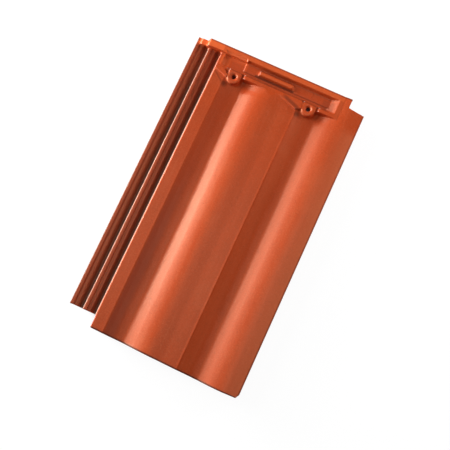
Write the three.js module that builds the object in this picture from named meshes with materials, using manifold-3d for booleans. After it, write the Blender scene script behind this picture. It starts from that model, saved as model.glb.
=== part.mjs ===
// An interlocking clay roof tile with two rolls and two troughs, pressed and fired as one piece.
//
// X runs across the tile from the side lock to the cover edge, Y from the foot to the head, and Z up.
// Heights are measured from the bottom line of the troughs on the weather face, which is zero.
// All sizes are in millimetres and all slopes in degrees.

import * as THREE from 'three';
import { mergeVertices } from 'three/addons/utils/BufferGeometryUtils.js';
import Module from 'manifold-3d';

const wasm = await Module();
wasm.setup();

// The tile as a whole.
const COVER_WIDTH = 240; // from tile to tile along a course
const SIDE_LAP = 40; // from the side lock to the face of the body above it
const TILE_LENGTH = 475.5;
const GAUGE = 360; // from course to course up the roof
const SHELL = 11.5; // thickness of the waved body
const EDGE = 1.2; // bevel on the outer arrises

// The waves. A period starts at the crease between a shoulder and a trough.
const CREASE_X = 63;
const TROUGH_RUN = 18;
const TROUGH_SLOPE = -22;
const TROUGH_EASE = 11;
const TROUGH_END = -5;
const VALLEY_RUN = 6.5;
const FLANK_SLOPE = 29;
const FLANK_RUN = 11;
const CREST_RUN = 32;
const CREST_END = -5;
const ARC_STEP = 3;

// The side lock: two ribs, each with a ledge and a gutter on its right.
const LOCK_TOP = 2;
const RIB_PITCH = 21.2;
const RIB_WIDTH = 5.5;
const RIB_BEVEL = 0.6;
const LEDGE_DROP = 2;
const LEDGE_END = 11.4; // from the left face of the rib
const GUTTER_DEPTH = 7;
const GUTTER_FLOOR = 2.6;
const GUTTER_WALL = 2.9; // batter of the wall between the gutters
const BODY_WALL = 4.2; // batter of the wall up to the body
const LOCK_FLOOR = 6.5; // clay below the gutters
const LOCK_START = 24; // from the foot to the start of the side lock
const LOCK_TAIL = 2.2; // from the tail of the outer rib to the head edge
const BODY_X = 43.4; // left face of the body above the lock
const KEEL_WIDTH = 8;

// The cover edge on the right lies over the side lock of the next tile.
const LOCK_GAP = 3;
const SIDE_PLAY = 0.8;
const NOTCH_WIDTH = 25.7;
const NOTCH_LENGTH = 14.3;
const NOTCH_SKEW = 5;

// The foot edge runs a little out of square, and its outer corners are trimmed.
const FOOT_SKEW = 1.35;
const FOOT_TIP = 32; // from the right edge to the furthest point of the foot
const FOOT_RELIEF = 1.1;
const FOOT_TRIM_X = 3;
const FOOT_TRIM_Y = 8;
const FOOT_CORNER = 1.6;

// The head: a table flush with the rolls, with a channel sunk into it behind the nail bosses.
const TABLE_TOP = 13.5;
const TABLE_WIDTH = 6.6; // from the foot edge of the table to the channel
const TABLE_FLANK = 83;
const TABLE_SHOULDER = 36; // from the end of the table to the right edge
const CREST_FALL = 7;
const CREST_LIP = 2;
const CHANNEL_WIDTH = 23.4;
const CHANNEL_END = 54; // from the end of its floor to the right edge
const CHANNEL_END_RUN = 12;
const CHANNEL_FLOOR = 4.5;
const CHANNEL_WALL = 76;
const HEAD_WALL = 70.5;
const RIM_WIDTH = 8.6; // from the channel to the head edge
const STEP_RISE = 1.5;
const STEP_RUN = 22; // from the first crease to the step in the floor
const STEP_WIDTH = 6.7; // deep part of the floor, beside the bosses
const SILL_TOP = 8;
const SILL_WIDTH = 6.6;
const SILL_RUN = 5;
const SILL_SETBACK = 2.3;
const LEDGE_BACK = 7.2; // from the ledge in the rim to the head edge
const LEDGE_START = 1.5;
const LEDGE_SLANT = 4.7;
const LEDGE_SLOPE = 16;
const LEDGE_RIB = 1.5; // closes the ledge on its right
const RIM_LEDGE_DROP = 0.9;
const RIM_X = 17;
const RIM_BATTER = 3.6;
const RIM_OVER_LOCK = 11.8; // from the closed ends of the gutters to the head edge
const GUTTER_CORNER = 3.5; // dressing of the closed ends
const BAR_TOP = 4;
const BAR_X = 5;
const BAR_BATTER = 2.5;
const STOP_BAR_START = 45.2; // from the first crease
const STOP_BAR_LENGTH = 58;
const STOP_BAR_SETBACK = 8.3; // from the channel's foot edge
const STOP_BAR_WIDTH = 5; // across its top
const STOP_BAR_RISE = 4.5;
const STOP_BAR_SLOPE = 60;
const STOP_BAR_BATTER = 2.5; // of its ends

// The table widens towards each boss along a slanting edge.
const WEDGE_START = 0.9;
const WEDGE_REACH = 8.3;
const WEDGE_BITE = 0.5; // into the side of the boss
const APEX_REACH = 10.6; // of the second wedge, whose edge turns back at the crease
const APEX_RUN = 32.2;
const APEX_SETBACK = 2.1;
const APEX_RETURN = 6.4;

// The nail bosses.
const BOSS_RADIUS = 11;
const BOSS_ROUND = 2.5;
const BOSS_DRAFT = 0.6;
const BOSS_FLARE = 2.5;
const BOSS_FLARE_TOP = 4;
const BOSS_DROP = 0.3; // below the table
const BOSS_GAP = 1.2;
const BOSS_GAP_DEPTH = 4;
const BOSS_GAP_BATTER = 3.3;
const BOSS_PLACES = [
  { acrossCrease: 13.2, beforeTable: 3, pocketWidth: 12.5, pocketLength: 10.5 },
  { acrossCrease: 15.9, beforeTable: 2.5, pocketWidth: 3, pocketLength: 5.5 },
];
const NAIL_HOLE = 6.4;
const NAIL_SEAT = 12;
const NAIL_SEAT_DEPTH = 2.2;

// The underside.
const STACK_GAP = 1.5; // air between the table and the tile lying on it
const FOOT_RIB = 14;
const FOOT_LOCK_WIDTH = 7;
const FOOT_LOCK_PLAY = 4;
const NIB_WIDTH = 34;
const NIB_DEPTH = 18;
const NIB_BACK = 29; // from the bearing face of the nibs to the head edge
const NIB_DRAFT = 2.5;
const NIB_SHIFT = 16; // to the right of the nail holes

// Clay left on for a cut to take away.
const TRIM = 1;
const ROUND_SIDES = 32;

// What follows from those.
const TILE_WIDTH = COVER_WIDTH + SIDE_LAP;
const ROLL_PITCH = COVER_WIDTH / 2;
const FOOT_STEP = TABLE_TOP + STACK_GAP + SHELL; // height of the foot edge
const GUTTER_Z = LOCK_TOP - GUTTER_DEPTH;
const LOCK_BOTTOM = GUTTER_Z - LOCK_FLOOR;
const COVER_X = COVER_WIDTH - SIDE_PLAY;
const CORNER_X = TILE_WIDTH - NOTCH_WIDTH;
const CORNER_Y = TILE_LENGTH - NOTCH_LENGTH;
const FOOT_TIP_X = TILE_WIDTH - FOOT_TIP;
const CHANNEL_HEAD = TILE_LENGTH - RIM_WIDTH;
const CHANNEL_FOOT = CHANNEL_HEAD - CHANNEL_WIDTH;
const CHANNEL_END_X = TILE_WIDTH - CHANNEL_END;
const TABLE_FOOT = CHANNEL_FOOT - TABLE_WIDTH;
const TABLE_END_X = TILE_WIDTH - TABLE_SHOULDER;
const STEP_Z = CHANNEL_FLOOR + STEP_RISE;
const STEP_X = CREASE_X + STEP_RUN;
const STEP_Y = CHANNEL_FOOT + STEP_WIDTH;
const SLAB_BOTTOM = CHANNEL_FLOOR - SHELL;
const SILL_X = BODY_X + SILL_WIDTH;
const LOCK_END = TILE_LENGTH - RIM_OVER_LOCK;
const LEDGE_X = SILL_X - LEDGE_START;
const LEDGE_Y = TILE_LENGTH - LEDGE_BACK;
const STOP_BAR_X = CREASE_X + STOP_BAR_START;
const STOP_BAR_END_X = STOP_BAR_X + STOP_BAR_LENGTH;
const STOP_BAR_FOOT = CHANNEL_FOOT + STOP_BAR_SETBACK;
const BOSS_TOP = TABLE_TOP - BOSS_DROP;
const BOSSES = BOSS_PLACES.map(({ acrossCrease, beforeTable, ...pocket }, n) => ({
  x: CREASE_X + n * ROLL_PITCH + acrossCrease,
  y: TABLE_FOOT - beforeTable,
  ...pocket,
}));
const NIB_FOOT = TILE_LENGTH - NIB_BACK;
const FAR = 1000; // past every face of the tile, for cutters

const rad = THREE.MathUtils.degToRad;
const tan = (degrees) => Math.tan(rad(degrees));

// Turns a closed geometry into a solid that can be joined and cut.
function solid(geometry) {
  geometry.deleteAttribute('normal');
  geometry.deleteAttribute('uv');
  const merged = mergeVertices(geometry, 1e-4);
  return new wasm.Manifold(
    new wasm.Mesh({
      numProp: 3,
      vertProperties: new Float32Array(merged.attributes.position.array),
      triVerts: new Uint32Array(merged.index.array),
    }),
  );
}

function shapeOf(points) {
  return new THREE.Shape(points.map(([a, b]) => new THREE.Vector2(a, b)));
}

// A section in X and Z, drawn out from one Y to another.
function alongY(points, from, to) {
  const geometry = new THREE.ExtrudeGeometry(shapeOf(points), { depth: to - from, bevelEnabled: false });
  geometry.rotateX(Math.PI / 2);
  geometry.translate(0, to, 0);
  return solid(geometry);
}

// A section in Y and Z, drawn out from one X to another.
function alongX(points, from, to) {
  const geometry = new THREE.ExtrudeGeometry(shapeOf(points), { depth: to - from, bevelEnabled: false });
  const turn = new THREE.Matrix4().makeBasis(
    new THREE.Vector3(0, 1, 0),
    new THREE.Vector3(0, 0, 1),
    new THREE.Vector3(1, 0, 0),
  );
  geometry.applyMatrix4(turn);
  geometry.translate(from, 0, 0);
  return solid(geometry);
}

// A plan in X and Y, drawn up from one Z to another.
function alongZ(points, from, to) {
  const geometry = new THREE.ExtrudeGeometry(shapeOf(points), { depth: to - from, bevelEnabled: false });
  geometry.translate(0, 0, from);
  return solid(geometry);
}

function block(x0, x1, y0, y1, z0, z1) {
  const geometry = new THREE.BoxGeometry(x1 - x0, y1 - y0, z1 - z0);
  geometry.translate((x0 + x1) / 2, (y0 + y1) / 2, (z0 + z1) / 2);
  return solid(geometry);
}

// An upright cone or cylinder.
function turned(x, y, z0, z1, radiusLow, radiusHigh) {
  const geometry = new THREE.CylinderGeometry(radiusHigh, radiusLow, z1 - z0, ROUND_SIDES);
  geometry.rotateX(Math.PI / 2);
  geometry.translate(x, y, (z0 + z1) / 2);
  return solid(geometry);
}

function straight(line, run, slope) {
  const [x, z] = line[line.length - 1];
  line.push([x + run, z + run * tan(slope)]);
}

// Adds a circular arc to a line, over a run in X, turning from one slope to another.
function bend(line, run, from, to) {
  const [x, z] = line[line.length - 1];
  const radius = run / (Math.sin(rad(to)) - Math.sin(rad(from)));
  const steps = Math.ceil(Math.abs(to - from) / ARC_STEP);
  for (let i = 1; i <= steps; i += 1) {
    const slope = rad(from + ((to - from) * i) / steps);
    line.push([
      x + radius * (Math.sin(slope) - Math.sin(rad(from))),
      z + radius * (Math.cos(rad(from)) - Math.cos(slope)),
    ]);
  }
}

// The weather face of one trough and one roll, from crease to crease.
function period(creaseX, creaseZ) {
  const line = [[creaseX, creaseZ]];
  straight(line, TROUGH_RUN, TROUGH_SLOPE);
  bend(line, TROUGH_EASE, TROUGH_SLOPE, TROUGH_END);
  bend(line, VALLEY_RUN, TROUGH_END, FLANK_SLOPE);
  straight(line, FLANK_RUN, FLANK_SLOPE);
  bend(line, CREST_RUN, FLANK_SLOPE, CREST_END);
  return line;
}

function heightOn(line, x) {
  const next = line.findIndex(([px]) => px >= x);
  const [x1, z1] = line[next];
  const [x0, z0] = line[next - 1];
  return z0 + ((z1 - z0) * (x - x0)) / (x1 - x0);
}

// The part of a line between two places in X, with a point at each end.
function between(line, from, to) {
  const inner = line.filter(([x]) => x > from && x < to);
  return [[from, heightOn(line, from)], ...inner, [to, heightOn(line, to)]];
}

const CREASE_Z = -Math.min(...period(0, 0).map(([, z]) => z));

const WAVE = [-1, 0, 1, 2].flatMap((n) => period(CREASE_X + n * ROLL_PITCH, CREASE_Z));

const raised = (line, by) => line.map(([x, z]) => [x, z + by]);

// One rib of the side lock with the gutter on its right, which ends at the foot of the next wall.
function lockRib(start, floorEnd) {
  return [
    [start, LOCK_TOP - RIB_BEVEL],
    [start + RIB_BEVEL, LOCK_TOP],
    [start + RIB_WIDTH, LOCK_TOP],
    [start + RIB_WIDTH + RIB_BEVEL, LOCK_TOP - LEDGE_DROP],
    [start + LEDGE_END, LOCK_TOP - LEDGE_DROP],
    [floorEnd - GUTTER_FLOOR, GUTTER_Z],
    [floorEnd, GUTTER_Z],
  ];
}

const LOCK_LINE = [...lockRib(0, RIB_PITCH - GUTTER_WALL), ...lockRib(RIB_PITCH, BODY_X - BODY_WALL)];
const COVER_LINE = LOCK_LINE.map(([x, z]) => [x + COVER_X, z + LOCK_GAP]);

// Section of the tile across its length, with the lock, the waves and the cover edge.
function tileSection() {
  const left = heightOn(WAVE, BODY_X);
  const right = heightOn(WAVE, TILE_WIDTH);
  return [
    ...LOCK_LINE,
    [BODY_X, left - EDGE],
    ...between(WAVE, BODY_X + EDGE, TILE_WIDTH - EDGE),
    [TILE_WIDTH, right - EDGE],
    [TILE_WIDTH, LOCK_TOP],
    ...COVER_LINE.slice(1).reverse(),
    [COVER_X, LOCK_TOP + LOCK_GAP],
    ...raised(between(WAVE, BODY_X + KEEL_WIDTH, COVER_X), -SHELL).reverse(),
    [BODY_X, LOCK_BOTTOM],
    [EDGE, LOCK_BOTTOM],
    [0, LOCK_BOTTOM + EDGE],
  ];
}

// A rib below the waves, from inside the shell down to a lower line.
function ribBelow(from, to, lowerLine, y0, y1) {
  const upper = raised(between(WAVE, from, to), -SHELL / 2);
  return alongY([...upper, ...lowerLine.slice().reverse()], y0, y1);
}

// The table at the head, down to the slab that carries it. It stands a little high until it is trimmed.
function table() {
  const flank = (z) => TABLE_FOOT - (TABLE_TOP - z) / tan(TABLE_FLANK);
  const high = TABLE_TOP + TRIM;
  const section = [
    [flank(SLAB_BOTTOM), SLAB_BOTTOM],
    [TILE_LENGTH + TRIM, SLAB_BOTTOM],
    [TILE_LENGTH + TRIM, high],
    [flank(high), high],
  ];
  const slab = alongX(section, BODY_X + EDGE / 2, COVER_X - TRIM);
  const overCover = alongX(section, COVER_X - 2 * TRIM, TABLE_END_X).intersect(
    block(0, FAR, 0, FAR, LOCK_TOP + LOCK_GAP + TRIM, FAR),
  );
  return slab.add(overCover);
}

// The two places where the table widens towards a boss, flush with its top.
function wedges() {
  const back = TABLE_FOOT + TRIM;
  const [firstEnd, secondEnd] = BOSSES.map(({ x }) => x - BOSS_RADIUS + WEDGE_BITE);
  const apex = CREASE_X + ROLL_PITCH - APEX_SETBACK;
  const first = [
    [BODY_X + EDGE, TABLE_FOOT - WEDGE_START],
    [firstEnd, TABLE_FOOT - WEDGE_REACH],
    [firstEnd, back],
    [BODY_X + EDGE, back],
  ];
  const second = [
    [apex - APEX_RUN, TABLE_FOOT],
    [apex, TABLE_FOOT - APEX_REACH],
    [secondEnd, TABLE_FOOT - APEX_RETURN],
    [secondEnd, back],
    [apex - APEX_RUN, back],
  ];
  return [first, second].map((plan) => alongZ(plan, CHANNEL_FLOOR, TABLE_TOP));
}

// Frees each boss from the table, by a gap on its right and by a pocket on its left.
function bossGaps() {
  const floor = TABLE_TOP - BOSS_GAP_DEPTH;
  const reach = BOSS_RADIUS + BOSS_GAP;
  const back = CHANNEL_FOOT + TRIM;
  return BOSSES.flatMap(({ x, y, pocketWidth, pocketLength }) => {
    const side = x - BOSS_RADIUS;
    const gap = [
      [side + WEDGE_BITE, floor],
      [x + reach, floor],
      [x + reach + BOSS_GAP_BATTER, TABLE_TOP],
      [x + reach + 2 * BOSS_GAP_BATTER, TABLE_TOP + BOSS_GAP_DEPTH],
      [side + WEDGE_BITE, TABLE_TOP + BOSS_GAP_DEPTH],
    ];
    const pocket = [
      [side + TRIM, CHANNEL_FOOT - pocketLength],
      [side + TRIM, back],
      [side - pocketWidth, back],
    ];
    return [alongY(gap, y - reach, back), alongZ(pocket, floor, FAR)];
  });
}

// Half widths of a boss at rising heights, from the flare at its base to the rounded edge of its top.
function bossProfile() {
  const round = (degrees) => [
    BOSS_RADIUS - BOSS_ROUND + BOSS_ROUND * Math.cos(rad(degrees)),
    BOSS_TOP - BOSS_ROUND + BOSS_ROUND * Math.sin(rad(degrees)),
  ];
  const foot = BOSS_RADIUS + BOSS_DRAFT;
  return [[foot + BOSS_FLARE, 0], [foot, BOSS_FLARE_TOP], round(0), round(30), round(60), round(90)];
}

// A boss is round towards the foot and runs straight back to the channel.
function boss({ x, y }) {
  const profile = bossProfile();
  const rings = profile.slice(1).map(([radius, z], n) => {
    const [below, zBelow] = profile[n];
    return turned(x, y, zBelow, z, below, radius);
  });
  const right = profile.map(([half, z]) => [x + half, z]);
  const left = profile.map(([half, z]) => [x - half, z]);
  const back = alongY([...right, ...left.reverse()], y, CHANNEL_FOOT + TRIM);
  return rings.reduce((body, ring) => body.add(ring), back);
}

function nailHole({ x, y }) {
  const bore = turned(x, y, -FAR, FAR, NAIL_HOLE / 2, NAIL_HOLE / 2);
  const seat = turned(
    x,
    y,
    BOSS_TOP - NAIL_SEAT_DEPTH,
    BOSS_TOP + NAIL_SEAT_DEPTH,
    NAIL_HOLE / 2,
    NAIL_SEAT - NAIL_HOLE / 2,
  );
  return bore.add(seat);
}

// The channel across the head, from the sill beside the lock to a sloping end on the right.
function channel() {
  const footSide = (z) => CHANNEL_FOOT + (TABLE_TOP - z) / tan(CHANNEL_WALL);
  const headSide = (z) => CHANNEL_HEAD - (TABLE_TOP - z) / tan(HEAD_WALL);
  const high = TABLE_TOP + TRIM;
  const section = [
    [footSide(CHANNEL_FLOOR), CHANNEL_FLOOR],
    [headSide(CHANNEL_FLOOR), CHANNEL_FLOOR],
    [headSide(high), high],
    [footSide(high), high],
  ];
  const floorLine = [
    [BODY_X - 2 * TRIM, SILL_TOP],
    [SILL_X, SILL_TOP],
    [SILL_X + SILL_RUN, CHANNEL_FLOOR],
    [STEP_X, CHANNEL_FLOOR],
    [STEP_X, STEP_Z],
    [CHANNEL_END_X, STEP_Z],
    [CHANNEL_END_X + CHANNEL_END_RUN, TABLE_TOP],
    [CHANNEL_END_X + 2 * CHANNEL_END_RUN, 2 * TABLE_TOP - STEP_Z],
    [BODY_X - 2 * TRIM, 2 * TABLE_TOP - STEP_Z],
  ];
  const main = alongX(section, BODY_X - 3 * TRIM, TABLE_END_X).intersect(alongY(floorLine, 0, FAR));
  const deepFoot = footSide(CHANNEL_FLOOR);
  const gutter = block(
    STEP_X - TRIM,
    CHANNEL_END_X - TRIM,
    deepFoot,
    STEP_Y,
    CHANNEL_FLOOR,
    STEP_Z + EDGE,
  );
  const sill = block(
    BODY_X - 2 * TRIM,
    CREASE_X - TRIM,
    CHANNEL_FOOT - SILL_SETBACK,
    CHANNEL_FOOT + TRIM,
    SILL_TOP + TRIM,
    FAR,
  );
  return main.add(gutter).add(sill);
}

// The low ledge in the foot side of the rim, with a slanting end on its left.
function rimLedge() {
  const rise = (LEDGE_Y - LOCK_END + TRIM) * tan(LEDGE_SLOPE);
  const back = TABLE_TOP - RIM_LEDGE_DROP;
  const section = [
    [LOCK_END - TRIM, back - rise],
    [LEDGE_Y, back],
    [LEDGE_Y, FAR],
    [LOCK_END - TRIM, FAR],
  ];
  const plan = [
    [LEDGE_X + LEDGE_SLANT, LOCK_END],
    [LEDGE_X + LEDGE_SLANT, LOCK_END - 2 * TRIM],
    [FAR, LOCK_END - 2 * TRIM],
    [FAR, TILE_LENGTH],
    [LEDGE_X, LEDGE_Y + TRIM],
    [LEDGE_X, LEDGE_Y],
  ];
  return alongX(section, BODY_X, STEP_X).intersect(alongZ(plan, 0, FAR));
}

function stopBar() {
  const root = CHANNEL_FLOOR - TRIM;
  const top = STEP_Z + STOP_BAR_RISE;
  const footFace = STOP_BAR_FOOT + (top - STEP_Z) / tan(STOP_BAR_SLOPE);
  const headFace = footFace + STOP_BAR_WIDTH;
  const section = [
    [footFace - (top - root) / tan(STOP_BAR_SLOPE), root],
    [headFace + (top - root) / tan(CHANNEL_WALL), root],
    [headFace, top],
    [footFace, top],
  ];
  const side = [
    [STOP_BAR_X - TRIM, root],
    [STOP_BAR_END_X + TRIM, root],
    [STOP_BAR_END_X - STOP_BAR_BATTER, top + TRIM],
    [STOP_BAR_X + STOP_BAR_BATTER, top + TRIM],
  ];
  return alongX(section, STOP_BAR_X - TRIM, STOP_BAR_END_X + TRIM).intersect(alongY(side, 0, FAR));
}

// Closes the gutters of the side lock at the head, with a low bar and the left end of the rim.
function lockEnd() {
  const under = GUTTER_Z - TRIM;
  const barSection = [
    [BAR_X, under],
    [RIM_X + TRIM, under],
    [RIM_X + TRIM, BAR_TOP],
    [BAR_X + BAR_BATTER, BAR_TOP],
    [BAR_X, LOCK_TOP],
  ];
  const rimEnd = STEP_X + LEDGE_RIB;
  const high = TABLE_TOP + TRIM;
  const rimSection = [
    [RIM_X, under],
    [rimEnd, under],
    [rimEnd, high],
    [RIM_X + RIM_BATTER, high],
    [RIM_X, BAR_TOP],
  ];
  const bar = alongY(barSection, LOCK_END, TILE_LENGTH);
  return bar.add(alongY(rimSection, LOCK_END, TILE_LENGTH + TRIM));
}

// Fills the corner between a left-facing wall and the closed end of a gutter.
function gutterCorner(wallX, top) {
  const plan = [
    [wallX - GUTTER_CORNER, LOCK_END + TRIM],
    [wallX - GUTTER_CORNER, LOCK_END],
    [wallX, LOCK_END - GUTTER_CORNER],
    [wallX + TRIM, LOCK_END - GUTTER_CORNER],
    [wallX + TRIM, LOCK_END + TRIM],
  ];
  return alongZ(plan, GUTTER_Z - TRIM, top);
}

// Everything above the table near the head is pressed flush, with the crest falling to meet it.
function headTrim() {
  const rise = SHELL;
  const run = rise / tan(CREST_FALL);
  return alongX(
    [
      [TABLE_FOOT + CREST_LIP - run, TABLE_TOP + rise],
      [TABLE_FOOT + CREST_LIP, TABLE_TOP],
      [TILE_LENGTH - EDGE, TABLE_TOP],
      [TILE_LENGTH + EDGE, TABLE_TOP - 2 * EDGE],
      [TILE_LENGTH + EDGE, FAR],
      [TABLE_FOOT + CREST_LIP - run, FAR],
    ],
    -FAR,
    TABLE_END_X,
  );
}

function nib(x) {
  const half = NIB_WIDTH / 2;
  const depthwise = alongX(
    [
      [NIB_FOOT, -SHELL / 2],
      [NIB_FOOT, -FOOT_STEP],
      [NIB_FOOT + NIB_DEPTH - NIB_DRAFT, -FOOT_STEP],
      [NIB_FOOT + NIB_DEPTH, -SHELL / 2],
    ],
    x - half - TRIM,
    x + half + TRIM,
  );
  const across = alongY(
    [
      [x - half, -SHELL / 2],
      [x - half + NIB_DRAFT, -FOOT_STEP],
      [x + half - NIB_DRAFT, -FOOT_STEP],
      [x + half, -SHELL / 2],
    ],
    NIB_FOOT - TRIM,
    NIB_FOOT + NIB_DEPTH + TRIM,
  );
  return depthwise.intersect(across);
}

// The rib behind the foot edge that hangs into the head channel of the tile below.
function footLock() {
  const middle = (STEP_Y + CHANNEL_HEAD) / 2 - GAUGE;
  const deep = STEP_Z - FOOT_STEP + STACK_GAP;
  const shallow = deep + STOP_BAR_RISE;
  const start = SILL_X + SILL_RUN;
  const end = CHANNEL_END_X - FOOT_LOCK_PLAY;
  const lower = [
    [start, deep],
    [STOP_BAR_X - FOOT_LOCK_PLAY, deep],
    [STOP_BAR_X - FOOT_LOCK_PLAY, shallow],
    [STOP_BAR_END_X + FOOT_LOCK_PLAY, shallow],
    [STOP_BAR_END_X + FOOT_LOCK_PLAY, deep],
    [end, deep],
  ];
  const half = FOOT_LOCK_WIDTH / 2;
  return ribBelow(start, end, lower, middle - half, middle + half);
}

function footRib() {
  const lower = raised(between(WAVE, BODY_X, TILE_WIDTH), -FOOT_STEP);
  return ribBelow(BODY_X, TILE_WIDTH, lower, 0, FOOT_RIB);
}

// What is trimmed away along the foot, seen in plan.
function footPlan() {
  const skew = (x) => (FOOT_TIP_X - x) * tan(FOOT_SKEW);
  const left = BODY_X - 2 * TRIM;
  const corner = BODY_X + FOOT_CORNER;
  return [
    [left, -FAR],
    [FAR, -FAR],
    [FAR, FOOT_TRIM_Y],
    [TILE_WIDTH, FOOT_TRIM_Y],
    [TILE_WIDTH - FOOT_TRIM_X, FOOT_RELIEF],
    [FOOT_TIP_X, 0],
    [corner, skew(corner)],
    [left, skew(corner) + corner - left],
  ];
}

// What is cut out of the head corner above the cover edge, seen in plan.
function notchPlan() {
  return [
    [CORNER_X, CORNER_Y],
    [FAR, CORNER_Y - (FAR - CORNER_X) * tan(NOTCH_SKEW)],
    [FAR, FAR],
    [CORNER_X, FAR],
  ];
}

function roofTile() {
  const faceLeft = BODY_X + EDGE / 2;
  const overLock = LOCK_TOP + LOCK_GAP + TRIM / 2;
  const trims = [
    block(-FAR, faceLeft, -FAR, LOCK_START, -FAR, FAR),
    block(-FAR, RIM_X, TILE_LENGTH - LOCK_TAIL, FAR, -FAR, FAR),
    block(-FAR, FAR, TILE_LENGTH, FAR, -FAR, FAR),
    block(COVER_X + TRIM / 2, FAR, CORNER_Y, FAR, -FAR, overLock),
    alongZ(notchPlan(), -FAR, FAR),
    alongZ(footPlan(), -FAR, FAR),
  ];
  const nibs = BOSSES.map(({ x }) => nib(x + NIB_SHIFT));
  const add = (rest, piece) => rest.add(piece);
  const cut = (rest, piece) => rest.subtract(piece);
  const long = alongY(tileSection(), 0, TILE_LENGTH + TRIM);
  const corners = [
    gutterCorner(RIB_PITCH, LOCK_TOP - 2 * RIB_BEVEL),
    gutterCorner(BODY_X, SILL_TOP - EDGE),
  ];
  const head = bossGaps().reduce(cut, wedges().reduce(add, table()));
  const joined = [footRib(), footLock(), head, ...nibs, ...BOSSES.map(boss)].reduce(add, long);
  const sunk = joined.subtract(channel());
  const pressed = [lockEnd(), stopBar(), ...corners].reduce(add, sunk);
  const finish = [headTrim(), rimLedge(), ...trims, ...BOSSES.map(nailHole)];
  return finish.reduce(cut, pressed);
}

// Turns a solid back into a three.js geometry.
function geometryOf(body) {
  const mesh = body.getMesh();
  const geometry = new THREE.BufferGeometry();
  geometry.setAttribute('position', new THREE.BufferAttribute(mesh.vertProperties, 3));
  geometry.setIndex(new THREE.BufferAttribute(mesh.triVerts, 1));
  geometry.computeVertexNormals();
  return geometry;
}

const firedClay = new THREE.MeshStandardMaterial({ color: 0xb8512f, roughness: 0.55, metalness: 0 });

const tile = new THREE.Mesh(geometryOf(roofTile()), firedClay);
tile.name = 'clay_tile';
tile.position.set(-TILE_WIDTH / 2, -TILE_LENGTH / 2, FOOT_STEP);

const part = new THREE.Group();
part.add(tile);

export default part;
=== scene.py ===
"""The looks of an interlocking clay roof tile: its pressed skin, satin slip and fired clay, with
painted shade and light.
"""

import math

import bpy
import numpy as np
from mathutils import Matrix, Vector


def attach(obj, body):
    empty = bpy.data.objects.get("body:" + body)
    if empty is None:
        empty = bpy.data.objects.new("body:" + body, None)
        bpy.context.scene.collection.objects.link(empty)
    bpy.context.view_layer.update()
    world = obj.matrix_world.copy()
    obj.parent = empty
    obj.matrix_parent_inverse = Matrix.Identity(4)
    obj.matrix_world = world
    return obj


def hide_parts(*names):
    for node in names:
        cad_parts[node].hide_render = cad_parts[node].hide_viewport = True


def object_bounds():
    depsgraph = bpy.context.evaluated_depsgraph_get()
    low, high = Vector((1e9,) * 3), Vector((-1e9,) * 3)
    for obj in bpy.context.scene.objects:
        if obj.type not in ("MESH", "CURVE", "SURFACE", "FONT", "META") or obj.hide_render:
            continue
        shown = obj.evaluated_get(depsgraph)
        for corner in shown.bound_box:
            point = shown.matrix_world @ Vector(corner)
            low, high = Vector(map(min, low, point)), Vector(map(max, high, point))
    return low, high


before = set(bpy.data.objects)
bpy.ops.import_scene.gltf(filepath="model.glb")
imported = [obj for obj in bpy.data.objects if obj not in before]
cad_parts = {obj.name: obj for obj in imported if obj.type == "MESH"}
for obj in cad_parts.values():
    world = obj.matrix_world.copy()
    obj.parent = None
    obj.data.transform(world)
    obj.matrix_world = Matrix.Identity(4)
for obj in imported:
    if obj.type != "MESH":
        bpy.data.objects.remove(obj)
cad_low, cad_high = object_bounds()

MM = 0.001

# The tile in millimetres: X from its left edge, Y from its foot, Z from its trough line.
WIDTH = 280
LENGTH = 475.5
FOOT_STEP = 26.5
BODY_X = 43.4
CREASES = (63, 183)
RIB_PITCH = 21.2
LOCK_END = 463.7
TABLE_FOOT = 436.9
RIM_FOOT = 466.9
NAIL_HOLES = ((76.2, 430), (198.9, 430))
POCKETS = ((65.5, 419), (185.5, 421))

# The foot edge runs square from its tip to the right, and climbs by the skew to the left of it.
FOOT_TIP = 248
FOOT_SKEW = 0.0236

# The skin: the grid that it is made on, and how far its outer faces swell.
CLAY_GRID = 0.8
SOFTENING = 3
MOST_TRIANGLES = 186000
EDGE_DEPTH = 1.5
OUTER_SWELL = 0.4

# The beads along the two creases: their heights, half width, and place to the left of a crease.
BEADS = (0.2, 0.45)
BEAD_WIDTH = 1.3
BEAD_LEFT = 0.6
BEADS_END = (TABLE_FOOT - 12, TABLE_FOOT - 5)

# The waves as fired, measured to the right from each crease: a hollow beside it, a fuller root
# of each roll, which grows towards the head, and a sag of the shoulder.
HOLLOW = 0.6
HOLLOW_START, HOLLOW_MIDDLE, HOLLOW_END = 1.5, 9, 26
ROLL_ROOTS = (1.6, 0.7)
ROOT_START, ROOT_RUN = 30.5, 8
ROOT_FADE = (42, 76)
ROOTS_GROW = (200, 380)
SHOULDER_SAG = 0.5
SAG_PLACE, SAG_WIDTH = 96, 9
WAVES_START = (BODY_X + 2, BODY_X + 8)
WAVES_END = (TABLE_FOOT - 20, TABLE_FOOT - 8)

# Marks of the mould in the head. Scratches: X, height, and where along Y each rises and fades.
PINHOLE = (187.8, 437)
PINHOLE_DEPTH = 0.9
PINHOLE_WIDTH = 1.4
SCRATCH_WIDTH = 0.9
SCRATCHES = (
    (89.8, 0.30, (444, 447), (457, 460)),
    (195.5, 0.30, (446, 449), (461, 464)),
    (52.2, -0.6, (453, 456), (464, 466)),
)

# Soft-sided oblongs in the head, where shade and light are painted: start, end and softness across
# the tile, and then along it.
CHANNEL = ((88, 226, 4), (TABLE_FOOT + 7, RIM_FOOT, 1.5))
CHANNEL_END = ((214, 233, 3), (TABLE_FOOT + 9, RIM_FOOT - 7, 2))
BAR_SIDE = ((104, 168, 1), (449.6, 452.4, 0.7))
BAR_TOP = ((104, 168, 1), (453.8, 458.6, 0.7))
TABLE_EDGE = ((60, 228, 3), (442.0, 445.4, 0.8))
TABLE_STRIP = ((60, 228, 3), (446.3, 448.3, 0.6))
RIM_WALL = ((90, 230, 2), (461.8, 464.4, 0.8))
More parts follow.
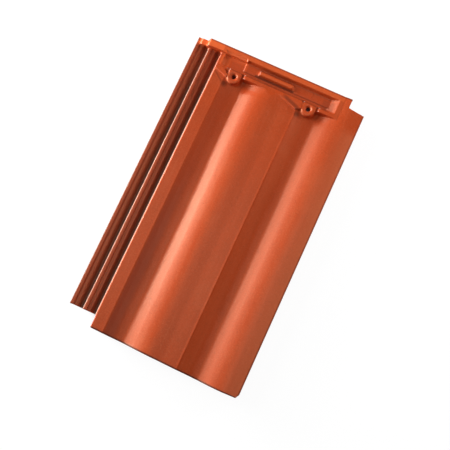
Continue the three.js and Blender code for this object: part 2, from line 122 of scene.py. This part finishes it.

# The slanted strips of painted shade beside the wedges: the lean of each, its span across the
# slant, and its run.
SLANTED_SHADES = (
    ((0.61, 0.80), (372.6, 374.6, 1.1), (46, 65, 1.5)),
    ((0.357, 1), (492.2, 497.5, 1.5), (158, 186, 4)),
)

# The side lock: where painted shade darkens its gutters, the painted highlights on its walls with
# their softness, and the painted shadow lines and highlight lines in its gutters, all across the
# tile.
OUTER_GUTTER_SHADE = (7.5, 18.5)
INNER_GUTTER_SHADE = (6.5 + RIB_PITCH, 18.5 + RIB_PITCH)
BODY_HIGHLIGHT = (BODY_X - 2.2, BODY_X + 0.1, 0.4)
RIB_HIGHLIGHT = (RIB_PITCH - 1.6, RIB_PITCH + 0.1, 0.4)
SHADOW_LINES = ((5.4, 6.4), (24.9, 25.9))
HIGHLIGHT_LINES = ((8.0, 9.0), (27.3, 28.3))
LINE_SOFTNESS = 0.6

# Wear and painted light: how sharp an arris is where rubbing starts and is full, and where its
# painted highlight starts and is full, which faces look left, where the head's painted highlights
# start, the painted ring of light on a boss, and how much open sky still counts as a corner for
# the painted shade.
RUBBED_BEND = (0.525, 0.60)
HIGHLIGHT_BEND = (0.515, 0.56)
FACING_LEFT = (-0.08, -0.40)
HEAD_HIGHLIGHT_START = (416, 421)
BOSS_RING = (7.4, 9.8, 0.8)
CORNER_SKY = (0.92, 0.35)

# Sizes of the fired grain, and the share of its pores that stay closed.
GRIT_SIZE = 1.4
PEEL_SIZE = 4.5
PORE_SPACING = 9
PORES_CLOSED = 0.72
PORE_RIM = (0.075, 0.035)

# The colours of the slip and the clay, as they look in plain white light, and the tones of painted
# shade and painted light.
SLIP = (0.53, 0.060, 0.010, 1)
KILN_DARK = (0.10, 0.018, 0.008, 1)
KILN_PALE = (0.80, 0.30, 0.14, 1)
LOCK_CLAY = (0.22, 0.047, 0.022, 1)
# The tone of all painted shade: in the head, in corners, along the edges and in the pores.
SHADE_TONE = (0.16, 0.022, 0.008, 1)
# The tone of the painted shade in the first trough.
TROUGH_SHADE_TONE = (0.30, 0.075, 0.045, 1)
# The tone of the painted light in the head.
HEAD_LIGHT_TONE = (0.80, 0.13, 0.030, 1)
# The tone of worn arrises, and also of painted light and highlights.
WEAR_AND_LIGHT_TONE = (0.72, 0.20, 0.085, 1)
# The tone of the painted highlights.
HIGHLIGHT_TONE = (0.66, 0.52, 0.42, 1)
# The tone of the painted shadow lines in the side lock.
LINE_SHADOW_TONE = (0.30, 0.026, 0.006, 1)
# The tone of the painted shade in the lock's gutters.
GUTTER_SHADE_TONE = (0.022, 0.017, 0.016, 1)
SHEEN = (1, 0.83, 0.56, 1)
SLIP_IOR = 1.5
ROUGHNESS = 0.38

# Square windows of light: azimuth and height in degrees, distance and side in metres, power in
# watts, and whether they show in gloss.
WINDOWS = (
    ("long_window", 165, 12, 1.4, 0.9, 22.8, True),
    ("low_window", 180, 8, 0.9, 0.5, 12.5, True),
    ("high_window", 180, 45, 2.5, 0.9, 15.6, True),
    ("skylight", 0, 85, 1.0, 0.6, 2.1, True),
    ("far_window", 40, 20, 0.9, 0.5, 3.9, False),
)
WHITE = (1, 1, 1, 1)
PALE_PAINT = (0.9, 0.9, 0.9, 1)
FILL = 0.02

# How far the floor looks up for the tile, and the shares of open sky that count as none and all,
# for the floor's painted shadow.
COVER_REACH = 0.06
COVERED, OPEN = 0.10, 0.50

LENS = 68.24
CAMERA_SPOT = (0.102, -0.19655, 1.2782)
CAMERA_RIGHT = (0.9087, 0.4175, 0.0)
CAMERA_UP = (-0.4122, 0.8972, 0.1584)

NUMBER = "NodeSocketFloat"
COLOUR = "NodeSocketColor"
VECTOR = "NodeSocketVector"


# The pressed skin.


def applied(piece):
    """Replaces a piece's mesh by what its modifiers make of it."""
    bpy.context.view_layer.update()
    shaped = piece.evaluated_get(bpy.context.evaluated_depsgraph_get())
    mesh = bpy.data.meshes.new_from_object(shaped)
    old = piece.data
    piece.modifiers.clear()
    piece.data = mesh
    bpy.data.meshes.remove(old)


def soft_heights(points, cell, seed):
    """Soft random heights between -1 and 1 at points in space, one bump to each cell."""
    rng = np.random.default_rng(seed)
    spots = points / cell
    base = np.floor(spots).astype(int)
    low = base.min(axis=0)
    grid = rng.uniform(-1, 1, tuple(base.max(axis=0) - low + 2))
    part = spots - base
    part = part * part * (3 - 2 * part)
    heights = np.zeros(len(points))
    for corner in np.ndindex(*(2,) * points.shape[1]):
        share = np.ones(len(points))
        for axis, side in enumerate(corner):
            share *= part[:, axis] if side else 1 - part[:, axis]
        index = tuple((base[:, axis] - low[axis] + side) for axis, side in enumerate(corner))
        heights += share * grid[index]
    return heights


def vectors(mesh, name):
    """The places or the normals of a mesh's points, as rows of X, Y and Z."""
    rows = np.empty(len(mesh.vertices) * 3)
    mesh.vertices.foreach_get(name, rows)
    return rows.reshape(-1, 3)


def on_tile(points):
    """Points in millimetres from the tile's left edge, its foot and its trough line."""
    return points / MM + np.array([WIDTH / 2, LENGTH / 2, -FOOT_STEP])


def ramp(values, start, end):
    """Rises softly from 0 at start to 1 at end."""
    part = np.clip((values - start) / (end - start), 0, 1)
    return part * part * (3 - 2 * part)


def beads(spots):
    """The low rounded beads that the press leaves along the creases, up to the table."""
    x, y = spots[:, 0], spots[:, 1]
    rise = np.zeros(len(spots))
    for crease, height in zip(CREASES, BEADS):
        rise += height * np.exp(-(((x - crease + BEAD_LEFT) / BEAD_WIDTH) ** 2))
    return rise * (1 - ramp(y, *BEADS_END))


def waves_as_fired(spots):
    """The waves are hollow beside the creases, full at the rolls' roots near the head, and sag."""
    x, y = spots[:, 0], spots[:, 1]
    rise = np.zeros(len(spots))
    for crease, root in zip(CREASES, ROLL_ROOTS):
        across = x - crease
        falling = ramp(across, HOLLOW_START, HOLLOW_MIDDLE)
        rise -= HOLLOW * falling * (1 - ramp(across, HOLLOW_MIDDLE, HOLLOW_END))
        tight = 1 - (1 - np.clip((across - ROOT_START) / ROOT_RUN, 0, 1)) ** 2
        rise += root * tight * (1 - ramp(across, *ROOT_FADE)) * ramp(y, *ROOTS_GROW)
        rise -= SHOULDER_SAG * np.exp(-(((across - SAG_PLACE) / SAG_WIDTH) ** 2))
    return rise * (1 - ramp(y, *WAVES_END)) * ramp(x, *WAVES_START)


def mould_marks(spots):
    """Scratches and a pinhole in the mould, pressed into the head."""
    x, y = spots[:, 0], spots[:, 1]
    rise = np.zeros(len(spots))
    for place, height, start, end in SCRATCHES:
        line = height * np.exp(-(((x - place) / SCRATCH_WIDTH) ** 2))
        rise += line * ramp(y, *start) * (1 - ramp(y, *end))
    square = (x - PINHOLE[0]) ** 2 + (y - PINHOLE[1]) ** 2
    return rise - PINHOLE_DEPTH * np.exp(-square / PINHOLE_WIDTH**2)


def unevenness(spots):
    """What drying and firing do to the skin, with long faint waves down the tile."""
    rise = 0.05 * soft_heights(spots, cell=22, seed=11)
    rise = rise + 0.03 * soft_heights(spots, cell=7, seed=12)
    drawn = spots * np.array([1, 0.08, 1])
    return rise + 0.05 * soft_heights(drawn, cell=9, seed=13) - 0.06


def near_outline(spots):
    """1 on the outer faces of the tile and 0 elsewhere."""
    x, y = spots[:, 0], spots[:, 1]
    foot = np.maximum(FOOT_TIP - x, 0) * FOOT_SKEW
    at_sides = (x < EDGE_DEPTH) | (x > WIDTH - EDGE_DEPTH)
    at_ends = (y < foot + EDGE_DEPTH) | (y > LENGTH - EDGE_DEPTH)
    return (at_sides | at_ends).astype(float)


def pressed_skin():
    """The tile's clay, with the soft arrises and slight unevenness of pressing and firing."""
    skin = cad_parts["clay_tile"].copy()
    skin.data = skin.data.copy()
    skin.name = "tile_body"
    bpy.context.scene.collection.objects.link(skin)
    grid = skin.modifiers.new("clay grid", "REMESH")
    grid.mode = "VOXEL"
    grid.voxel_size = CLAY_GRID * MM
    soft = skin.modifiers.new("soft arrises", "SMOOTH")
    soft.factor = 0.5
    soft.iterations = SOFTENING
    applied(skin)
    mesh = skin.data
    points, normals = vectors(mesh, "co"), vectors(mesh, "normal")
    spots = on_tile(points)
    upward = ramp(normals[:, 2], 0.5, 0.8)
    relief = beads(spots) + waves_as_fired(spots) + mould_marks(spots)
    rise = unevenness(spots) + upward * relief
    moved = points + normals * rise[:, None] * MM
    moved[:, :2] += normals[:, :2] * OUTER_SWELL * MM * near_outline(spots)[:, None]
    mesh.vertices.foreach_set("co", np.clip(moved, cad_low, cad_high).ravel())
    mesh.update()
    count = sum(len(p.vertices) - 2 for p in mesh.polygons)
    if count > MOST_TRIANGLES:
        fewer = skin.modifiers.new("fewer triangles", "DECIMATE")
        fewer.ratio = MOST_TRIANGLES / count
        applied(skin)
    skin.data.shade_smooth()
    return skin


# Finishes, with painted shade and light. The groups work in millimetres on the tile, from its left
# edge, foot and trough line.


class Tree:
    """Adds nodes to a material or a group, and joins them."""

    def __init__(self, tree):
        self.tree = tree

    def add(self, kind, inputs=None, **settings):
        """A new node with its settings, and its inputs filled with values or joined to sockets."""
        made = self.tree.nodes.new(kind)
        for key, value in settings.items():
            setattr(made, key, value)
        for key, value in (inputs or {}).items():
            self.put(value, made.inputs[key])
        return made

    def put(self, value, socket):
        """Fills a socket with a value, or joins it to another socket."""
        if isinstance(value, bpy.types.NodeSocket):
            self.tree.links.new(value, socket)
        else:
            socket.default_value = value

    def calc(self, kind, *values):
        """The result of one arithmetic step on numbers."""
        made = self.add("ShaderNodeMath", operation=kind)
        for value, socket in zip(values, made.inputs):
            self.put(value, socket)
        return made.outputs[0]

    def plus(self, first, second):
        """The sum of two numbers."""
        return self.calc("ADD", first, second)

    def less(self, first, second):
        """The first number less the second."""
        return self.calc("SUBTRACT", first, second)

    def times(self, first, *others):
        """The product of several numbers."""
        for other in others:
            first = self.calc("MULTIPLY", first, other)
        return first

    def most(self, first, *others):
        """The largest of several numbers."""
        for other in others:
            first = self.calc("MAXIMUM", first, other)
        return first

    def steps(self, value, start, end, low=0.0, high=1.0):
        """Goes softly from low at start to high at end."""
        made = self.add(
            "ShaderNodeMapRange",
            {"Value": value, "From Min": start, "From Max": end, "To Min": low, "To Max": high},
            interpolation_type="SMOOTHSTEP",
        )
        return made.outputs[0]

    def slope(self, value, start, end):
        """Goes evenly from 0 at start to 1 at end."""
        spread = {"Value": value, "From Min": start, "From Max": end}
        return self.add("ShaderNodeMapRange", spread).outputs[0]

    def band(self, value, start, end, soft):
        """1 between start and end and 0 outside, with soft sides."""
        rising = self.steps(value, start - soft, start + soft)
        return self.times(rising, self.steps(value, end + soft, end - soft))

    def oblong(self, x, y, across, along):
        """1 inside an oblong and 0 outside, with soft sides."""
        return self.times(self.band(y, *along), self.band(x, *across))

    def away(self, x, y, spot_x, spot_y):
        """How far X and Y lie from a spot."""
        across, along = self.less(x, spot_x), self.less(y, spot_y)
        square = self.plus(self.times(across, across), self.times(along, along))
        return self.calc("SQRT", square)

    def parts(self, vector):
        """A vector's X, Y and Z."""
        return list(self.add("ShaderNodeSeparateXYZ", {0: vector}).outputs)

    def tint(self, share, first, second):
        """The first colour with a share of the second."""
        made = self.add("ShaderNodeMix", data_type="RGBA", clamp_result=True)
        self.put(share, made.inputs[0])
        self.put(first, made.inputs[6])
        self.put(second, made.inputs[7])
        return made.outputs[2]

    def noise(self, spot, size, detail, rough):
        """Soft random values around one half, one bump to each size in millimetres."""
        made = self.add(
            "ShaderNodeTexNoise",
            {"Vector": spot, "Scale": 1 / size, "Detail": detail, "Roughness": rough},
        )
        return made.outputs[0]


def effect(name, inputs, outputs):
    """A shader node group with named sockets, its inputs and its output node."""
    tree = bpy.data.node_groups.new(name, "ShaderNodeTree")
    for title, kind, value in inputs:
        socket = tree.interface.new_socket(title, in_out="INPUT", socket_type=kind)
        socket.default_value = value
    for title, kind in outputs:
        tree.interface.new_socket(title, in_out="OUTPUT", socket_type=kind)
    made = Tree(tree)
    return made, made.add("NodeGroupInput").outputs, made.add("NodeGroupOutput").inputs


def placed(made, group, inputs):
    """The outputs of a group that is placed in a tree."""
    node = made.add("ShaderNodeGroup", node_tree=group.tree)
    for key, value in inputs.items():
        made.put(value, node.inputs[key])
    return node.outputs


def numbers(*titles):
    """Sockets that carry numbers."""
    return [(title, NUMBER) for title in titles]


def tile_place():
    """Where on the tile a point lies, in millimetres."""
    made, _, out = effect("tile_place", [], [("Spot", VECTOR)])
    place = made.add("ShaderNodeTexCoord").outputs["Object"]
    corner = (WIDTH / 2, LENGTH / 2, -FOOT_STEP)
    scale = (1 / MM, 1 / MM, 1 / MM)
    moved = made.add("ShaderNodeMapping", {"Vector": place, "Location": corner, "Scale": scale})
    made.put(moved.outputs[0], out["Spot"])
    return made


def clay_grain():
    """The fine grit of fired clay, the soft orange peel of the slip over it, and a few pores."""
    made, given, out = effect(
        "clay_grain",
        [
            ("Spot", VECTOR, (0, 0, 0)),
            ("Grit", NUMBER, 0.09),
            ("Peel", NUMBER, 0.10),
            ("Pores", NUMBER, 0.25),
        ],
        numbers("Height", "Grit Mask", "Pore Shade"),
    )
    spot = given["Spot"]
    grit = made.noise(spot, size=GRIT_SIZE, detail=3, rough=0.6)
    peel = made.noise(spot, size=PEEL_SIZE, detail=1, rough=0.4)
    spacing = {"Vector": spot, "Scale": 1 / PORE_SPACING, "Randomness": 1.0}
    cells = made.add("ShaderNodeTexVoronoi", spacing).outputs
    draw = made.add("ShaderNodeSeparateColor", {0: cells["Color"]}).outputs[0]
    chosen = made.calc("GREATER_THAN", draw, PORES_CLOSED)
    pore = made.times(made.steps(cells["Distance"], *PORE_RIM), chosen)
    height = made.times(made.less(grit, 0.5), given["Grit"])
    height = made.plus(height, made.times(made.less(peel, 0.5), given["Peel"]))
    height = made.less(height, made.times(pore, given["Pores"]))
    made.put(height, out["Height"])
    made.put(grit, out["Grit Mask"])
    # The pore mask also carries painted shade in the pits.
    made.put(pore, out["Pore Shade"])
    return made


def kiln_colour():
    """A fired colour with kiln clouds, faint streaks down the tile, iron specks and pale grit."""
    made, given, out = effect(
        "kiln_colour",
        [
            ("Spot", VECTOR, (0, 0, 0)),
            ("Colour", COLOUR, SLIP),
            ("Clouds", NUMBER, 0.2),
            ("Streaks", NUMBER, 0.15),
            ("Specks", NUMBER, 0.3),
        ],
        [("Colour", COLOUR)],
    )
    spot, colour = given["Spot"], given["Colour"]
    clouds = made.noise(spot, size=75, detail=3, rough=0.55)
    drawn = made.add("ShaderNodeMapping", {"Vector": spot, "Scale": (1, 0.05, 1)}).outputs[0]
    streaks = made.noise(drawn, size=5, detail=3, rough=0.6)
    specks = made.noise(spot, size=3.2, detail=3, rough=0.65)
    grit = made.noise(spot, size=2.1, detail=3, rough=0.7)
    dark = made.tint(0.42, colour, KILN_DARK)
    pale = made.tint(0.30, colour, KILN_PALE)
    for field, start, end, strength, tone in (
        (clouds, 0.50, 0.30, "Clouds", dark),
        (clouds, 0.52, 0.72, "Clouds", pale),
        (streaks, 0.52, 0.72, "Streaks", pale),
        (streaks, 0.46, 0.28, "Streaks", dark),
        (specks, 0.50, 0.68, "Specks", dark),
        (grit, 0.50, 0.66, "Specks", pale),
    ):
        share = made.times(made.steps(field, start, end), given[strength])
        colour = made.tint(share, colour, tone)
    made.put(colour, out["Colour"])
    return made


def wear_and_painted_light():
    """Where handling has rubbed the arrises, where highlights are painted on the head's
    left-facing arrises and bosses, and where shade is painted in corners.
    """
    made, given, out = effect(
        "wear_and_painted_light",
        [("Spot", VECTOR, (0, 0, 0)), ("Breaks", NUMBER, 0.5), ("Reach", NUMBER, 9.0)],
        numbers("Rubbed", "Corner Shade", "Left Highlights", "Rings"),
    )
    across, along, _ = made.parts(given["Spot"])
    bend = made.add("ShaderNodeNewGeometry").outputs["Pointiness"]
    broken = made.steps(made.noise(given["Spot"], size=6, detail=3, rough=0.6), 0.35, 0.62)
    kept = made.less(1, made.times(given["Breaks"], made.less(1, broken)))
    made.put(made.times(made.steps(bend, *RUBBED_BEND), kept), out["Rubbed"])

    # At the head, highlights are painted on the faces to the left: on sharp arrises, and as rings
    # on the bosses.
    facing = made.parts(made.add("ShaderNodeTexCoord").outputs["Normal"])[0]
    left = made.times(made.steps(facing, *FACING_LEFT), made.steps(along, *HEAD_HIGHLIGHT_START))
    made.put(made.times(made.steps(bend, *HIGHLIGHT_BEND), left), out["Left Highlights"])
    rings = [made.band(made.away(across, along, *hole), *BOSS_RING) for hole in NAIL_HOLES]
    made.put(made.times(made.most(*rings), left), out["Rings"])

    # Painted shade in corners: darker where little open sky is seen within reach.
    reach = {"Distance": made.times(given["Reach"], MM)}
    sky = made.add("ShaderNodeAmbientOcclusion", reach, samples=6, only_local=True).outputs["AO"]
    made.put(made.steps(sky, *CORNER_SKY), out["Corner Shade"])
    return made


def lock_tone_and_shade():
    """The duller side lock, with painted shade by its right-hand walls, painted shadow and
    highlight lines, and painted highlights on its walls.
    """
    made, given, out = effect(
        "lock_tone_and_shade",
        [("Spot", VECTOR, (0, 0, 0))],
        numbers("Gutter Shade", "Wall Highlight", "Lock", "Shadow Line", "Highlight Line"),
    )
    x, y, z = made.parts(given["Spot"])
    lock = made.times(made.steps(x, BODY_X + 0.6, BODY_X - 0.4), made.steps(z, 6.5, 4.5))
    lock = made.times(lock, made.steps(y, LOCK_END + 1, LOCK_END - 4))
    made.put(lock, out["Lock"])

    # Painted shade grows towards the right-hand wall of each gutter, and thins out at the head.
    outer = made.calc("POWER", made.slope(x, *OUTER_GUTTER_SHADE), 3)
    outer = made.times(outer, made.steps(x, RIB_PITCH - 0.9, RIB_PITCH - 1.5))
    outer = made.times(outer, made.steps(z, 1.2, 0.2))
    inner = made.calc("POWER", made.slope(x, *INNER_GUTTER_SHADE), 2.5)
    inner = made.times(inner, made.steps(z, 5.2, 4.0))
    from_head = made.steps(y, LOCK_END - 4, LOCK_END - 85, low=0.25)
    made.put(made.times(made.most(outer, inner), from_head, lock), out["Gutter Shade"])

    # A painted highlight on the body's left-facing wall fades down the wall and towards the head,
    # and the inner rib has one.
    body = made.band(x, *BODY_HIGHLIGHT)
    body = made.times(body, made.steps(z, 5.0, 10.0, low=0.2), made.steps(z, 3.8, 5.0))
    body = made.times(body, made.steps(y, 446, 420, low=0.35))
    rib = made.times(made.band(x, *RIB_HIGHLIGHT), made.steps(z, -0.8, 0.6))
    short_of_end = made.steps(y, LOCK_END, LOCK_END - 8)
    made.put(made.times(made.most(body, rib), short_of_end), out["Wall Highlight"])

    # Painted shadow lines at the ribs' steps, and painted highlight lines on the ledges beside
    # them.
    for title, lines in (("Shadow Line", SHADOW_LINES), ("Highlight Line", HIGHLIGHT_LINES)):
        drawn = made.most(*[made.band(x, *line, LINE_SOFTNESS) for line in lines])
        made.put(made.times(drawn, lock), out[title])
    return made


def painted_shade_and_light():
    """Where shade and light are painted on the tile, and where its slip is matt."""
    made, given, out = effect(
        "painted_shade_and_light",
        [("Spot", VECTOR, (0, 0, 0))],
        numbers("Right Light", "Head Light", "Head Shade", "Trough Shade", "Edge Shade", "Matt", "Head Only"),
    )
    x, y, _ = made.parts(given["Spot"])
    field = made.steps(y, TABLE_FOOT - 2, TABLE_FOOT - 22)
    troughs = [
        made.times(made.steps(x, crease, crease + 3), made.steps(x, crease + 23, crease + 13))
        for crease in CREASES
    ]
    channel_end = made.oblong(x, y, *CHANNEL_END)

    # Painted light towards the right edge and in the second trough, painted shade in the first
    # one, darker towards the foot, and matt on the right roll and at the end of the channel.
    # Painted shade in corners shows only at the head.
    right_light = made.most(made.steps(x, 246, 278), made.times(troughs[1], 0.35))
    made.put(made.times(right_light, field), out["Right Light"])
    trough_shade = made.times(troughs[0], made.steps(y, 330, 150, low=0.12, high=0.5))
    made.put(trough_shade, out["Trough Shade"])
    made.put(made.most(made.times(made.band(x, 212, 246, 12), field), channel_end), out["Matt"])
    made.put(made.steps(y, 439, 435, low=1.0, high=0.05), out["Head Only"])

    # Painted shade in the channel, along its bar and walls, in the slanted strips beside the
    # wedges and in the pockets by the bosses.
    head_shade = made.most(
        made.times(made.oblong(x, y, *CHANNEL), 0.3),
        made.times(channel_end, 0.9),
        made.times(made.oblong(x, y, *BAR_SIDE), 2.3),
        made.times(made.oblong(x, y, *TABLE_EDGE), 1.5),
        made.times(made.oblong(x, y, *RIM_WALL), 0.8),
    )
    for (lean, span, run), share in zip(SLANTED_SHADES, (1.2, 1.6)):
        slant = made.plus(made.times(x, lean[0]), made.times(y, lean[1]))
        slanted_shade = made.times(made.band(slant, *span), made.band(x, *run))
        head_shade = made.most(head_shade, made.times(slanted_shade, share))
    for pocket in POCKETS:
        pocket_shade = made.steps(made.away(x, y, *pocket), 7.0, 0.5, high=1.8)
        head_shade = made.most(head_shade, pocket_shade)
    made.put(head_shade, out["Head Shade"])

    # Painted shade along the outer edges: head, right, left and foot.
    head_edge = made.steps(y, LENGTH - 3.0, LENGTH - 2.0)
    right_edge = made.steps(x, WIDTH - 2.6, WIDTH - 1.8)
    left_edge = made.steps(x, 2.6, 1.4)
    foot = made.times(made.most(made.less(FOOT_TIP, x), 0), FOOT_SKEW)
    edge = made.most(
        made.times(head_edge, 0.6),
        made.times(right_edge, 0.5),
        made.times(left_edge, 0.7),
        made.steps(made.less(y, foot), 3.0, 1.4),
    )
    made.put(edge, out["Edge Shade"])

    # Painted light on the rim, the ledge, the sill, the table's strip, the lock's ends and the
    # bar.
    rim_top = made.times(made.band(y, RIM_FOOT - 0.5, LENGTH, 0.7), made.steps(x, 247, 242))
    ledge = made.times(made.band(x, 46, 88, 2), made.steps(y, 456, 461))
    sill = made.times(made.band(x, 46, 61, 1.5), made.steps(y, 443, 447))
    lock_ends = made.times(made.steps(x, 46, 44), made.steps(y, LOCK_END, LOCK_END + 2))
    rim = made.most(
        rim_top,
        ledge,
        sill,
        made.times(made.oblong(x, y, *TABLE_STRIP), 0.3),
        made.times(lock_ends, 2),
        made.times(made.oblong(x, y, *BAR_TOP), 0.8),
    )
    made.put(made.times(rim, made.steps(x, 1, 3)), out["Head Light"])
    return made


def slipped_clay():
    """Fired red clay under a thinly laid satin slip, worn at its arrises and duller in its side
    lock, with painted shade and painted highlights.
    """
    material = bpy.data.materials.new("fired_clay")
    material.use_nodes = True
    material.node_tree.nodes.clear()
    made = Tree(material.node_tree)
    spot = placed(made, tile_place(), {})["Spot"]
    grain = placed(made, clay_grain(), {"Spot": spot})
    slip = placed(made, kiln_colour(), {"Spot": spot, "Colour": SLIP})
    arrises = placed(made, wear_and_painted_light(), {"Spot": spot})
    lock_tones = placed(made, lock_tone_and_shade(), {"Spot": spot})
    shade_and_light = placed(made, painted_shade_and_light(), {"Spot": spot})
    rubbed = made.times(arrises["Rubbed"], made.less(1, lock_tones["Lock"]))
    off_head_light = made.less(0.7, made.times(shade_and_light["Head Light"], 0.5))
    # Painted shade in corners, weaker where the head's light is painted, and only at the head.
    corner_shade = made.times(arrises["Corner Shade"], off_head_light, shade_and_light["Head Only"])

    colour = slip["Colour"]
    for mask, strength, tone in (
        # Painted shade in the first trough, darker towards the foot.
        (shade_and_light["Trough Shade"], 1, TROUGH_SHADE_TONE),
        # Painted shade in the head's channel, along its bar and walls, and in its slanted strips
        # and pockets.
        (shade_and_light["Head Shade"], 0.42, SHADE_TONE),
        # Painted light towards the right edge and in the second trough.
        (shade_and_light["Right Light"], 0.35, WEAR_AND_LIGHT_TONE),
        # Painted light on the rim, ledge, sill, table strip, lock ends and bar.
        (shade_and_light["Head Light"], 0.5, HEAD_LIGHT_TONE),
        (lock_tones["Lock"], 0.58, LOCK_CLAY),
        # A painted shadow line at each rib's step in the side lock.
        (lock_tones["Shadow Line"], 0.85, LINE_SHADOW_TONE),
        # A painted highlight line on each ledge in the side lock.
        (lock_tones["Highlight Line"], 0.3, WEAR_AND_LIGHT_TONE),
        # Painted shade in corners at the head.
        (corner_shade, 1, SHADE_TONE),
        (rubbed, 0.35, WEAR_AND_LIGHT_TONE),
        # Painted highlights as rings on the bosses' left sides.
        (arrises["Rings"], 0.75, WEAR_AND_LIGHT_TONE),
        # Painted highlights on the head's left-facing arrises.
        (arrises["Left Highlights"], 0.7, HIGHLIGHT_TONE),
        # Painted shade towards the right-hand walls of the lock's gutters.
        (lock_tones["Gutter Shade"], 0.93, GUTTER_SHADE_TONE),
        # Painted highlights on the lock's left-facing walls.
        (lock_tones["Wall Highlight"], 0.9, HIGHLIGHT_TONE),
        # Painted shade along the tile's outer edges.
        (shade_and_light["Edge Shade"], 0.92, SHADE_TONE),
        # Painted shade in the pores.
        (grain["Pore Shade"], 0.5, SHADE_TONE),
    ):
        colour = made.tint(made.times(mask, strength), colour, tone)

    rough = made.steps(grain["Grit Mask"], 0.3, 0.7, ROUGHNESS - 0.05, ROUGHNESS + 0.07)
    for mask, strength in ((rubbed, 0.1), (lock_tones["Gutter Shade"], 0.25), (shade_and_light["Matt"], 0.09)):
        rough = made.plus(rough, made.times(mask, strength))

    relief = {"Strength": 1.0, "Distance": MM, "Height": grain["Height"]}
    normal = made.add("ShaderNodeBump", relief).outputs[0]
    finish = {"Base Color": colour, "Roughness": rough, "Normal": normal}
    shader = made.add("ShaderNodeBsdfPrincipled", finish)
    shader.inputs["Specular Tint"].default_value = SHEEN
    shader.inputs["IOR"].default_value = SLIP_IOR
    made.add("ShaderNodeOutputMaterial", {"Surface": shader.outputs[0]})
    return material


# The studio.


def lamp(name, azimuth, height, away, side, power, glossy):
    """A square window of light, pointed at the tile."""
    data = bpy.data.lights.new(name, "AREA")
    data.shape = "SQUARE"
    data.size = side
    data.energy = power
    turn, rise = math.radians(azimuth), math.radians(height)
    level = math.cos(rise)
    spot = away * Vector((math.cos(turn) * level, math.sin(turn) * level, math.sin(rise)))
    piece = bpy.data.objects.new(name, data)
    piece.location = spot
    piece.rotation_euler = (-spot).to_track_quat("-Z", "Y").to_euler()
    piece.visible_glossy = glossy
    bpy.context.scene.collection.objects.link(piece)


def white_paint(name):
    """Paint that is white to the camera and in gloss, with a painted shadow only where the tile
    covers it.
    """
    material = bpy.data.materials.new(name)
    material.use_nodes = True
    material.node_tree.nodes.clear()
    made = Tree(material.node_tree)
    path = made.add("ShaderNodeLightPath").outputs
    seen = made.most(path["Is Camera Ray"], path["Is Glossy Ray"], path["Is Transmission Ray"])
    unseen = made.add("ShaderNodeBsdfDiffuse", {"Color": PALE_PAINT})
    reach = {"Distance": COVER_REACH}
    # Painted shadow: the floor's glow fades where the tile hides its sky.
    sky = made.add("ShaderNodeAmbientOcclusion", reach, samples=16).outputs["AO"]
    shade = made.steps(sky, COVERED, OPEN, low=0.01, high=0.1)
    glow = made.steps(sky, COVERED, OPEN, low=0.004, high=0.94)
    faint = made.add("ShaderNodeBsdfDiffuse", {"Color": shade})
    white = made.add("ShaderNodeEmission", {"Color": WHITE, "Strength": glow})
    bright = made.add("ShaderNodeAddShader", {0: faint.outputs[0], 1: white.outputs[0]})
    sides = {0: seen, 1: unseen.outputs[0], 2: bright.outputs[0]}
    both = made.add("ShaderNodeMixShader", sides)
    made.add("ShaderNodeOutputMaterial", {"Surface": both.outputs[0]})
    return material


def room():
    """A round white floor with a low white wall around it."""
    sides, reach, wall = 96, 9.0, 4.0
    turns = [2 * math.pi * i / sides for i in range(sides)]
    ring = [(math.cos(turn), math.sin(turn)) for turn in turns]
    points = [(reach * x, reach * y, height) for height in (0, wall) for x, y in ring]
    faces = [tuple(range(sides))]
    faces += [(i, sides + i, sides + (i + 1) % sides, (i + 1) % sides) for i in range(sides)]
    mesh = bpy.data.meshes.new("room")
    mesh.from_pydata(points, [], faces)
    piece = bpy.data.objects.new("room", mesh)
    bpy.context.scene.collection.objects.link(piece)
    mesh.materials.append(white_paint("white_paint"))


def studio():
    """The white room, its soft windows and a faint even light."""
    world = bpy.data.worlds.new("studio")
    bpy.context.scene.world = world
    world.use_nodes = True
    world.node_tree.nodes.clear()
    made = Tree(world.node_tree)
    fill = made.add("ShaderNodeBackground", {"Color": WHITE, "Strength": FILL})
    made.add("ShaderNodeOutputWorld", {"Surface": fill.outputs[0]})
    for window in WINDOWS:
        lamp(*window)
    room()


def camera():
    """A camera that looks steeply down at the tile."""
    data = bpy.data.cameras.new("camera")
    data.sensor_width = 36
    data.lens = LENS
    piece = bpy.data.objects.new("camera", data)
    right, up = Vector(CAMERA_RIGHT), Vector(CAMERA_UP)
    turn = Matrix((right, up, right.cross(up))).transposed()
    piece.matrix_world = Matrix.Translation(Vector(CAMERA_SPOT)) @ turn.to_4x4()
    bpy.context.scene.collection.objects.link(piece)
    bpy.context.scene.camera = piece


bpy.context.scene.view_settings.view_transform = "Standard"
skin = pressed_skin()
skin.data.materials.clear()
skin.data.materials.append(slipped_clay())
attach(skin, "root")
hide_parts("clay_tile")
studio()
camera()
